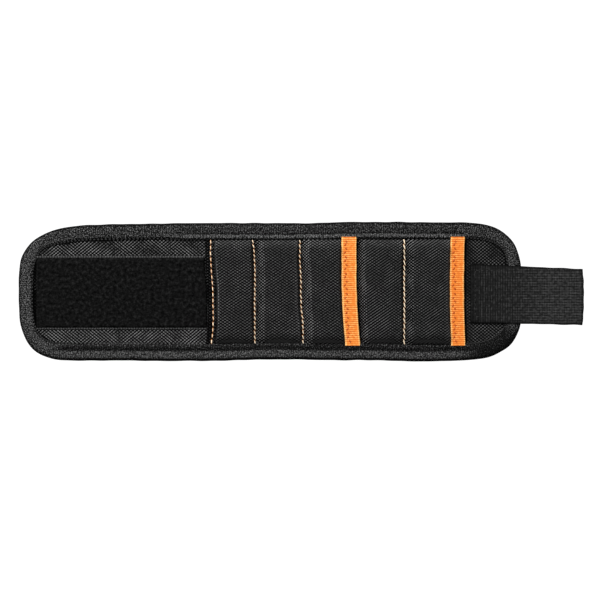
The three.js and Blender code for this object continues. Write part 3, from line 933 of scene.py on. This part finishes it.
def sew_binding(name, row):
    """Stitches of the binding at lengths along the outline, on its upper face and, turned over, its lower
    one."""
    line, inward = edge_at(row)
    over = mixed(tape_shares(line, inward), TAPE_SEWN_ABOVE)
    under = np.broadcast_to(TAPE_SEWN_BELOW, over.shape)
    above, below = (
        points(*(line + inward * sewn[:, :1] * tape_narrowing(inward)).T, sewn[:, 1])
        for sewn in (over, under)
    )
    along = points(inward[:, 1], -inward[:, 0], 0.0)
    up = np.broadcast_to(UP, along.shape)
    centre, along = np.concatenate([above, below]), np.concatenate([along, along])
    sewn = stitches(name, centre, along, TAPE_STITCH, BLACK_THREAD, up=np.concatenate([up, -up]))
    bend(sewn)


# The loop patch ends at this distance to the left of the first sewn line.
LOOP_BESIDE_SEAM = 3.9


def make_loop_patch():
    """Loop patch: a slab with rounded edges and a soft uneven pile on top, between its two woven
    selvedges."""
    low, high = span("tail_end_loop_patch")
    left, rounding, ground = low[0] + 1.1, 1.4, 0.4
    y = np.linspace(low[1] - 0.1, high[1] - 0.4, 63)[None, :]
    right = seam_x("seam_1", y) - LOOP_BESIDE_SEAM
    x = left + (right - left) * np.linspace(0, 1, 150)[:, None]
    inside = np.minimum(np.minimum(x - left, right - x), np.minimum(y - y[0, 0], y[0, -1] - y))
    rounded = np.sqrt(1 - (1 - np.clip(inside / rounding, 0, 1)) ** 2)
    nap = np.random.default_rng(11).uniform(-1, 1, inside.shape)
    top = DECK + ground + (high[2] - low[2] - ground) * rounded
    top = top + rounded * (0.09 * nap + 0.15 * ripple(x, y, 9.0, 12))
    rings = slab(points(x, y, top), points(x, y, DECK - 0.3))
    patch = make_piece("loop_patch", rings, flat_uv(rings), LOOP_PILE)
    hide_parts("tail_end_loop_patch", "tail_root_loop_patch")
    edges = {"upper": (high[1] + 0.25, 1), "lower": (low[1] - 0.55, -1)}
    strips = [make_selvedge(end, middle, side, left) for end, (middle, side) in edges.items()]
    bend(patch)


def make_selvedge(end, middle, side, left):
    """Selvedge of the loop patch: a flat woven strip with a round top, and the stitches along its inner
    edge."""
    pitch, half = 2.6, 0.6
    right = seam_x("seam_1", middle) - LOOP_BESIDE_SEAM
    x = np.linspace(left, right, 150)[:, None]
    share = np.linspace(-1, 1, 9)[None, :]
    top = DECK + 0.3 + 0.45 * np.sqrt(1 - share ** 4)
    rings = slab(points(x, middle + share * half, top), points(x, middle + share * half, DECK - 0.3))
    strip = make_piece(f"loop_selvedge_{end}", rings, flat_uv(rings), SELVEDGE)
    bend(strip)
    row = np.arange(left + pitch, right - pitch, pitch)
    centre = points(row, middle - side * half, DECK + 0.7)
    sewn = stitches(f"loop_stitches_{end}", centre, ALONG, (1.5, 0.6, 0.5), BLACK_THREAD, dip=0.2)
    bend(sewn)
    return strip


def seam_x(seam, y):
    """Place along the band of a sewn line at places across it: its fold's, moved by the line's stray."""
    joint, knots = SEAMS[seam]
    return HINGE[joint][0] + curve(knots, y)


def ribbon_left(pocket, y):
    """Place along the band of the left edge of a pocket's ribbon."""
    return span(pocket + "_ribbon")[0][0] + curve(RIBBONS[pocket][0], y)


def ribbon_right(pocket, y):
    """Place along the band of the folded right edge of a pocket's ribbon."""
    return ribbon_left(pocket, y) + RIBBONS[pocket][1]


def shoulder(distance, width, fullness):
    """Rise of a cloth from its sewn edge, from 0 to 1 over a width: one less a power of the way left to
    go."""
    return 1 - np.clip(1 - distance / width, 0, 1) ** fullness


def front_sheet(name, left, right, sewn_left, sewn_right):
    """Top of a crowned front, as rows across the channel, and its painted light and bite. Its height over the
    edges is the product of the rises from its left, right and two end edges, dimpled where stitches pull the
    sewn edges down, and its rims stay flat. The painted light and shade change at all but the lower edge, on
    the left flank and shoulder and in the hollow, the bite on the left flank and in the hollow."""
    node = name + "_front"
    base, top = span(node)[0][2], span(node)[1][2]
    y = np.linspace(FRONT_BOTTOM, FRONT_TOP, 117)[:, None]
    across = np.sin(np.linspace(-0.5, 0.5, 81) * np.pi)[None, :]
    first, last = left(y), right(y)
    x = first + (last - first) * (1 + across) / 2
    wide_left, wide_right = FLANKS[name]
    rim_left, rim_right = RIMS.get(name, (0.0, 0.0))
    from_left, from_right = x - first - rim_left, last - rim_right - x
    hump = shoulder(from_left, wide_left, FLANK_FULLNESS) * shoulder(from_right, wide_right, FLANK_FULLNESS)
    hump = hump * shoulder(np.minimum(FRONT_TOP - y, y - FRONT_BOTTOM), END_SLOPE, END_FULLNESS)
    pull = sewn_left * np.exp(-(x - first) / PULL_REACH) + sewn_right * np.exp(-(last - x) / PULL_REACH)
    dimple = 0.5 + 0.5 * np.cos(2 * np.pi * (y - SEAM_BOTTOM) / DIMPLE_PITCH + np.pi)
    on_shoulder = bell(from_left - wide_left, 0.5)
    uneven = 0.12 * ripple(x, y, 16.0, int(100 * abs(base)) + len(node))
    rise = (top - base - FRONT_EDGE) * (0.94 + 0.06 * (1 - across ** 2)) + uneven
    middle, bent, half, depth = HOLLOW
    hollow = np.exp(-((y - middle + bent * across ** 2) / half) ** 4) * (1 - across ** 4)
    rise = rise + CREASE.get(name, 0.0) * on_shoulder - depth * hollow
    sheet = points(x, y, base + FRONT_EDGE + np.maximum(hump * (rise - STITCH_PULL * pull * dimple), 0))
    # Painted shade and more bite on the left flank, a painted highlight on the shoulder that fades towards
    # the ends, painted light at the right edge and the upper end, painted shade at the left edge, and painted
    # light with a flatter weave in the hollow.
    flank_bite, flank_shade, shoulder_highlight, right_light = FRONT_PAINTED_LIGHT[name]
    on_flank = 1 - smoothstep(wide_left - 0.6, wide_left + 0.6, from_left)
    paler_share = 0.3 + 0.7 * bell(y, 17.0)
    painted_light_and_wear = flank_shade * on_flank + shoulder_highlight * on_shoulder * paler_share + right_light * bell(from_right, 2.5)
    end_light, end, end_reach = UPPER_END_LIGHT
    left_shade, left_reach = LEFT_EDGE_SHADE
    painted_light_and_wear = painted_light_and_wear + end_light * bell(y - end, end_reach) + left_shade * bell(x - first, left_reach)
    return sheet, painted_light_and_wear + HOLLOW_PAINTED_LIGHT[0] * hollow, flank_bite * on_flank + HOLLOW_PAINTED_LIGHT[1] * hollow


def beside(edge, name, away):
    """Place along the band at a distance to the right of a named edge, as a function of the place
    across."""
    return lambda y: edge(name, y) + away


def front_sheets():
    """Sheets and (painted light, bite) of the five fronts, between sewn lines, from a ribbon's edge, or into
    its fold."""
    past_fold, into_fold = 1.0, 0.5
    limits = {
        "channel_1": (beside(seam_x, "seam_1", GROOVE), beside(seam_x, "seam_2", -GROOVE), 1, 1),
        "channel_2": (beside(seam_x, "seam_2", GROOVE), beside(seam_x, "seam_3", -GROOVE), 1, 1),
        "pocket_a": (beside(seam_x, "seam_3", GROOVE), beside(ribbon_left, "pocket_a", into_fold), 1, 0),
        "channel_4": (beside(ribbon_right, "pocket_a", past_fold), beside(seam_x, "seam_4", -GROOVE), 0, 1),
        "pocket_b": (beside(seam_x, "seam_4", GROOVE), beside(ribbon_left, "pocket_b", into_fold), 1, 0),
    }
    made = {name: front_sheet(name, *limit) for name, limit in limits.items()}
    sheets = {name: sheet for name, (sheet, *_) in made.items()}
    marks = {name: np.stack([painted_light_and_wear, bite]) for name, (_, painted_light_and_wear, bite) in made.items()}
    return settle(sheets), marks


def settle(sheets):
    """Cloth simulation of the fronts. Every second point of a sheet, enlarged, is blown up by a soft
    pressure while its edges and rims are held. The way that its points go, eased off towards the cap, is
    added to the sheet."""
    scene = bpy.context.scene
    cloths = {name: make_cloth(name, sheet[::2, ::2]) for name, sheet in sheets.items()}
    for step in range(1, SIM_FRAMES + 1):
        scene.frame_set(step)
    graph = bpy.context.evaluated_depsgraph_get()
    settled = {}
    for name, cloth in cloths.items():
        coarse = sheets[name][::2, ::2]
        place = np.empty(coarse.size, np.float32)
        cloth.evaluated_get(graph).data.vertices.foreach_get("co", place)
        way = place.reshape(coarse.shape) / SIM_SCALE - coarse
        way = way / (1 + np.linalg.norm(way, axis=-1, keepdims=True) / SIM_CAP)
        settled[name] = sheets[name] + between(way)
    for cloth in cloths.values():
        bpy.data.meshes.remove(cloth.data)
    scene.frame_set(1)
    return settled


def make_cloth(name, sheet):
    """A front's sheet as a cloth to simulate: held where it lies on its lowest level, pressed up, without
    weight."""
    rows, columns = sheet.shape[:2]
    i, j = np.meshgrid(np.arange(rows - 1), np.arange(columns - 1), indexing="ij")
    first = (i * columns + j).ravel()
    faces = np.stack([first, first + 1, first + columns + 1, first + columns], -1)
    mesh = bpy.data.meshes.new(name + "_cloth")
    mesh.from_pydata((sheet.reshape(-1, 3) * SIM_SCALE).tolist(), [], faces.tolist())
    cloth = show(name + "_cloth", mesh)
    low = sheet[..., 2] < sheet[..., 2].min() + 0.02
    cloth.vertex_groups.new(name="held").add(np.flatnonzero(low).tolist(), 1.0, "REPLACE")
    rules = cloth.modifiers.new("cloth", "CLOTH").settings
    rules.vertex_group_mass = "held"
    rules.effector_weights.gravity = 0.0
    rules.use_pressure = True
    rules.uniform_pressure_force = 4.0
    rules.shrink_min = -0.03
    return cloth


def between(way):
    """A grid with a point put half way between all the neighbours of another one."""
    rows, columns = way.shape[:2]
    full = np.empty((2 * rows - 1, 2 * columns - 1, 3))
    full[::2, ::2] = way
    full[1::2, ::2] = (way[:-1] + way[1:]) / 2
    full[:, 1::2] = (full[:, :-2:2] + full[:, 2::2]) / 2
    return full


def cloth_uv(sheet):
    """Millimetres along a cloth's two directions from its middle row and column, measured on its surface
    along the band, and nearer the way in plan across it, so that the weave shows as wide at the ends as on
    top."""
    rows, columns = sheet.shape[:2]
    along = np.linalg.norm(np.diff(sheet, axis=1), axis=2).cumsum(axis=1)
    up = np.linalg.norm(np.diff(sheet * (1.0, 1.0, 0.25), axis=0), axis=2).cumsum(axis=0)
    along = np.pad(along, ((0, 0), (1, 0)))
    up = np.pad(up, ((1, 0), (0, 0)))
    middle = sheet[rows // 2, columns // 2]
    along = along - along[:, columns // 2, None] + middle[0]
    up = up - up[None, rows // 2] + middle[1]
    return np.stack([along, up], -1)


def make_front(piece_name, sheet, marks, uv, floor, finish):
    """Closed piece of a front: its top sheet over a flat underside at the floor's level."""
    under = sheet.copy()
    under[..., 2] = floor
    both = np.concatenate([uv, uv[:, ::-1], uv[:, :1]], axis=1)
    painted_light_and_wear, bite = (both_faces(value) for value in marks)
    front = make_piece(piece_name, slab(sheet, under), both, finish, painted_light_and_wear, bite)
    return front


def make_fixed_fronts(sheets, marks):
    """The three fronts that are sewn down on both sides."""
    for body, cloth in {"channel_1": FRONT_CLOTH, "channel_2": FRONT_CLOTH, "channel_4": TWILL_CLOTH}.items():
        sheet = sheets[body]
        front = make_front(f"{body}_padded_front", sheet, marks[body], cloth_uv(sheet), DECK, cloth)
        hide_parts(body + "_front")
        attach(front, body)


def open_with(piece):
    """Bakes the transform of one half of a pocket's mouth into its mesh."""
    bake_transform(piece)


def make_pockets(sheets, marks):
    """The two pockets, each in two halves with a crowned front, backing, ribbon and its stitches, and
    magnet."""
    for pocket, (_, seam) in POCKETS.items():
        cloth = FRONT_CLOTH if pocket == "pocket_a" else TWILL_CLOTH
        sheet, uv = sheets[pocket], cloth_uv(sheets[pocket])
        floor = span(pocket + "_front")[0][2]
        middle = len(sheet) // 2
        rows = {"upper": slice(middle, None), "lower": slice(None, middle + 1)}
        for half, side in HALVES.items():
            part = rows[half]
            name = f"{pocket}_padded_front_{half}"
            front = make_front(name, sheet[part], marks[pocket][:, part], uv[part], floor, cloth)
            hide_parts(pocket + "_front")
            open_with(front)
            make_backing(pocket, half, seam)
            make_ribbon(pocket, half, side)
            make_pocket_magnet(pocket, half)


def make_backing(pocket, half, seam):
    """Backing of a pocket's front: thin cloth from the sewn line into the ribbon's fold."""
    node = pocket + "_backing"
    low, high = span(node)
    into_fold, under_front = 1.2, 0.02
    y = np.linspace(0.0, FRONT_TOP if half == "upper" else FRONT_BOTTOM, 40)[:, None]
    share = np.linspace(0, 1, 30)[None, :]
    first = seam_x(seam, y) + GROOVE
    last = ribbon_right(pocket, y) - into_fold
    x = first + (last - first) * share
    rings = slab(points(x, y, high[2] - under_front), points(x, y, low[2]))
    sheet = make_piece(f"{node}_{half}", rings, flat_uv(rings), BACKING_CLOTH)
    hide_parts(node)
    open_with(sheet)


def make_ribbon(pocket, half, side):
    """Ribbon round a pocket's mouth: a flat U on its side carried across the band, its outside ribbed by a
    sine of the way along."""
    node = pocket + "_ribbon"
    low, high = span(node)
    width = RIBBONS[pocket][1]
    round_it = (high[2] - low[2]) / 2
    turn = np.linspace(np.pi / 2, -np.pi / 2, 11)
    run = np.linspace(0, width - round_it, 12)
    outer = np.concatenate([
        pairs(run[:-1], high[2]),
        pairs(width - round_it + round_it * np.cos(turn), low[2] + round_it + round_it * np.sin(turn)),
        pairs(run[-2::-1], low[2]),
    ])
    ring = thickened(outer, -RIBBON_THICKNESS)
    outside = (np.arange(len(ring)) < len(outer)) * np.sign(ring[:, 1] - low[2] - round_it)
    y = np.linspace(0.0, side * RIBBON_HALF, int(RIBBON_HALF / RIB_PITCH * 6))[:, None]
    ribs = RIB_HEIGHT * np.sin(2 * np.pi * y / RIB_PITCH) * outside
    wave = 0.12 * ripple(0.0, y, 12.0, 21)
    rings = points(ribbon_left(pocket, y) + wave + ring[:, 0], y, ring[:, 1] + ribs)
    uv = pairs(y, ring_lengths(ring)[None, :] * RIBBON_UV / width)
    tape = make_piece(f"{pocket}_mouth_ribbon_{half}", rings, uv, GROSGRAIN, RIBBON_WEAR[pocket])
    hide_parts(node)
    open_with(tape)
    sew_ribbon(pocket, half, side, high[2])


def sew_ribbon(pocket, half, side, top):
    """Stitches through the left third of a ribbon: a loose zigzag along it."""
    pitch, from_left, slant = 2.6, 2.6, 0.9
    row = side * np.arange(pitch / 2, RIBBON_HALF - 1.0, pitch)
    loose = np.random.default_rng(41 + side).uniform(-1, 1, (2, len(row)))
    zigzag = 0.45 * (-1.0) ** np.arange(len(row)) + 0.3 * loose[0]
    centre = points(ribbon_left(pocket, row) + from_left + zigzag, row + 0.4 * loose[1], top + 0.04)
    along = points(-slant * np.sign(zigzag), 1.0, 0.0) / math.hypot(slant, 1.0)
    name = f"{pocket}_ribbon_stitches_{half}"
    sewn = stitches(name, centre, along, (2.2, 1.1, 0.45), RUST_THREAD, dip=0.15)
    open_with(sewn)


def make_pocket_magnet(pocket, half):
    """Magnet of a pocket: a disc turned from a profile with a small bevel, in the half it lies in."""
    node = f"{pocket}_magnet_{half}"
    low, high = span(node)
    centre, radius, bevel = (low + high) / 2, (high[0] - low[0]) / 2, 0.3
    around = (np.arange(64) / 64 * 2 * np.pi)[None, :]
    reach = np.array([radius - bevel, radius, radius, radius - bevel])[:, None]
    height = np.array([low[2], low[2] + bevel, high[2] - bevel, high[2]])[:, None]
    rings = points(centre[0] + reach * np.cos(around), centre[1] + reach * np.sin(around), height)
    disc = make_piece(f"{node}_disc", rings, flat_uv(rings), NICKEL)
    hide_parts(node)
    open_with(disc)


def make_seam_threads():
    """The four sewn lines: single slanted stitches along each line, in the groove between two fronts."""
    above_deck = 0.75
    for seam, body in SEAM_BODY.items():
        count = round((SEAM_TOP - SEAM_BOTTOM) / SEAM_PITCH[seam])
        row = SEAM_BOTTOM + (SEAM_TOP - SEAM_BOTTOM) * (np.arange(count) + 0.5) / count
        loose = np.random.default_rng(len(row)).uniform(-1, 1, (3, count))
        place = seam_x(seam, row) + 0.08 * loose[0]
        lean = np.gradient(seam_x(seam, row), row) - np.tan(np.radians(SEAM_SLANT[seam] + 4 * loose[1]))
        along = points(lean, 1.0, 0.0)
        along = along / np.linalg.norm(along, axis=1)[:, None]
        centre = points(place, row, DECK + above_deck)
        size = (SEAM_STITCH[seam], SEAM_GIRTH[seam], SEAM_HEIGHT)
        # Painted light of each seam, with a random tone for each stitch.
        painted_light_and_wear = SEAM_PAINTED_LIGHT[seam] + 0.14 * loose[2]
        sewn = stitches(f"{seam}_stitches", centre, along, size, ORANGE_THREAD, dip=0.35, painted_light_and_wear=painted_light_and_wear)
        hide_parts(seam + "_thread")
        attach(sewn, body)


def strap_lines(x):
    """Middle and half width of the strap at places along it, straight between their ends."""
    middle = np.interp(x, *np.array(STRAP_MIDDLE).T)
    return middle, np.interp(x, *np.array(STRAP_HALF).T)


def strap_wave(x, y):
    """How the strap, with its hook tape, waves up and down."""
    return 0.12 * ripple(x, y, 30.0, 33)


def bend_strap(piece):
    """Bakes the transform of a piece of the strap into its mesh."""
    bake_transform(piece)


def make_strap():
    """Strap webbing: a flat slab with round selvedges that lies on the tab, climbs over the binding and
    runs out free, its cut end slightly bowed."""
    start, end = span("tab_strap_anchor")[0][0], span("strap_webbing")[1][0]
    low, high = span("strap_webbing")[0][2], span("strap_webbing")[1][2]
    on_deck, dark_edge, edge_reach = DECK + 0.15, -2.6, 1.0
    x = np.linspace(start, end, 120)[:, None]
    share = np.sin(np.linspace(-0.5, 0.5, 41) * np.pi)[None, :]
    middle, half = strap_lines(x)
    half = half + 0.15 * ripple(x, 0.0, 14.0, 31)
    y = middle + half * share
    bowed = x + smoothstep(end - 6, end, x) * (-0.9 * share ** 2 + 0.15 * ripple(0.0, y, 6.0, 32))
    lie = on_deck + (low - on_deck) * smoothstep(130.0, 138.0, x) + strap_wave(x, y)
    edge = np.sqrt(1 - np.abs(share) ** 30)
    thickness = (high - low) * (0.35 + 0.65 * edge)
    core = lie + (high - low) / 2
    rings = slab(points(bowed, y, core + thickness / 2), points(bowed, y, core - thickness / 2))
    from_edge = np.minimum(half * (1 - np.abs(share)), end - x)
    painted_light_and_wear = both_faces(dark_edge * bell(from_edge, edge_reach))
    strap = make_piece("strap", rings, flat_uv(rings), WEBBING, painted_light_and_wear)
    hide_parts("tab_strap_anchor", "strap_webbing")
    bend_strap(strap)
    sew_strap(start)


def sew_strap(start):
    """Box of stitches that holds the strap on the tab: runs round a rectangle."""
    left, right, half, pitch, height = start + 3.0, start + 25.0, 15.0, 3.0, DECK + 1.4
    corners = np.array([(left, half), (right, half), (right, -half), (left, -half)])
    centre, along = [], []
    for first, last in zip(corners, np.roll(corners, -1, axis=0)):
        length = np.linalg.norm(last - first)
        count = int(length / pitch)
        x, y = (first + (last - first) * (np.arange(count) + 0.5)[:, None] / count).T
        centre.append(points(x, y + strap_lines(x)[0], height))
        along.append(np.broadcast_to(np.append((last - first) / length, 0.0), (count, 3)))
    centre, along = np.concatenate(centre), np.concatenate(along)
    sewn = stitches("strap_box_stitches", centre, along, (2.4, 0.55, 0.4), BLACK_THREAD, dip=0.2)
    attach(sewn, "tab")


def make_hook_tape():
    """Hook tape under the free strap: a thin flat ground, and the hooks on it."""
    low, high = span("strap_hook_tape")
    ground, short, narrow = 0.5, 1.2, 0.6
    x = np.linspace(low[0], high[0] - short, 40)[:, None]
    middle, half = strap_lines(x)
    y = middle + (half - narrow) * np.linspace(-1, 1, 30)[None, :]
    lie = high[2] + strap_wave(x, y)
    rings = slab(points(x, y, lie), points(x, y, lie - ground))
    base = make_piece("hook_tape_ground", rings, flat_uv(rings), HOOK_NYLON)
    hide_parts("strap_hook_tape")
    bend_strap(base)
    make_hooks(low[0] + 1.2, high[0] - 2.2, half.min() - 1.8, high[2] - ground)


def make_hooks(first, last, half, height):
    """Rows of small bent hooks that hang from the tape's ground: each is a tapering tube whose middle line
    is a half circle on a stem. They are drawn coarser than the real ones, which are too fine to show."""
    pitch, stem, bow = 1.5, 0.35, 0.22
    places = np.meshgrid(np.arange(first, last, pitch), np.arange(-half, half, pitch))
    x, y = (part.ravel() for part in places)
    y = y + strap_lines(x)[0]
    turn = np.linspace(0, 1.15 * np.pi, 5)
    line = pairs(np.append(0.0, bow - bow * np.cos(turn)), -np.append(0.0, stem + bow * np.sin(turn)))
    side = left_of(line)
    thick = np.array([0.2, 0.17, 0.16, 0.15, 0.13, 0.08])[:, None]
    around = (np.arange(4) / 4 * 2 * np.pi)[None, :]
    hook = points(
        line[:, :1] + side[:, :1] * thick * np.cos(around),
        thick * np.sin(around),
        line[:, 1:] + side[:, 1:] * thick * np.cos(around),
    )
    root = points(x, y, height + strap_wave(x, y))
    uv = pairs(np.arange(6)[:, None] * 0.2, np.arange(5)[None, :] * 0.2)
    hooks = make_piece("hook_tape_hooks", root[:, None, None, :] + hook, uv, HOOK_NYLON)
    bend_strap(hooks)


def dress_closed_magnets():
    """The magnets of the closed channels keep their CAD shape and get the plating."""
    for body in ("channel_1", "channel_2", "channel_4"):
        for half in HALVES:
            node = frame["nodes"][f"{body}_magnet_{half}"]
            node.data.materials.clear()
            node.data.materials.append(NICKEL)


def make_stage():
    """White floor, lit a little from inside as a light table is. It lies as far under the band as the
    band's loop reaches when it is closed, as under a clear stand, so shadows stay faint and every pose is
    seen whole."""
    reach, under = 40.0, -0.13
    mesh = bpy.data.meshes.new("floor")
    corners = [(-reach, -reach, under), (reach, -reach, under), (reach, reach, under), (-reach, reach, under)]
    mesh.from_pydata(corners, [], [(0, 1, 2, 3)])
    mesh.materials.append(LIGHT_TABLE)
    floor = show("floor", mesh)


def make_light():
    """Soft studio light: a bright even sky and one large lamp high up beyond the band's upper left."""
    world = bpy.data.worlds.new("studio")
    world.use_nodes = True
    sky = world.node_tree.nodes["Background"]
    sky.inputs["Color"].default_value = WHITE
    sky.inputs["Strength"].default_value = 0.45
    bpy.context.scene.world = world
    lamp = bpy.data.lights.new("key_lamp", "AREA")
    lamp.shape = "DISK"
    lamp.size = 0.7
    lamp.energy = 33.0
    key = show("key_lamp", lamp)
    key.location = (-0.45, 0.95, 1.00)
    key.rotation_mode = "QUATERNION"
    key.rotation_quaternion = (-key.location).to_track_quat("-Z", "Y")


def make_camera():
    """Camera straight above the band, with a long lens; the picture takes in 390 mm of the deck."""
    middle_x, middle_y, picture = -0.8, -5.7, 390.0
    lens = bpy.data.cameras.new("camera")
    lens.lens = 100.0
    lens.sensor_width = 36.0
    camera = show("camera", lens)
    camera.location = (MM * middle_x, MM * middle_y, MM * (DECK + picture * lens.lens / lens.sensor_width))
    bpy.context.scene.camera = camera


make_camera()
make_shell()
make_lining()
make_binding()
make_loop_patch()
fronts = front_sheets()
make_fixed_fronts(*fronts)
make_pockets(*fronts)
make_seam_threads()
make_strap()
make_hook_tape()
dress_closed_magnets()
make_stage()
make_light()
bpy.context.scene.view_settings.view_transform = "Standard"
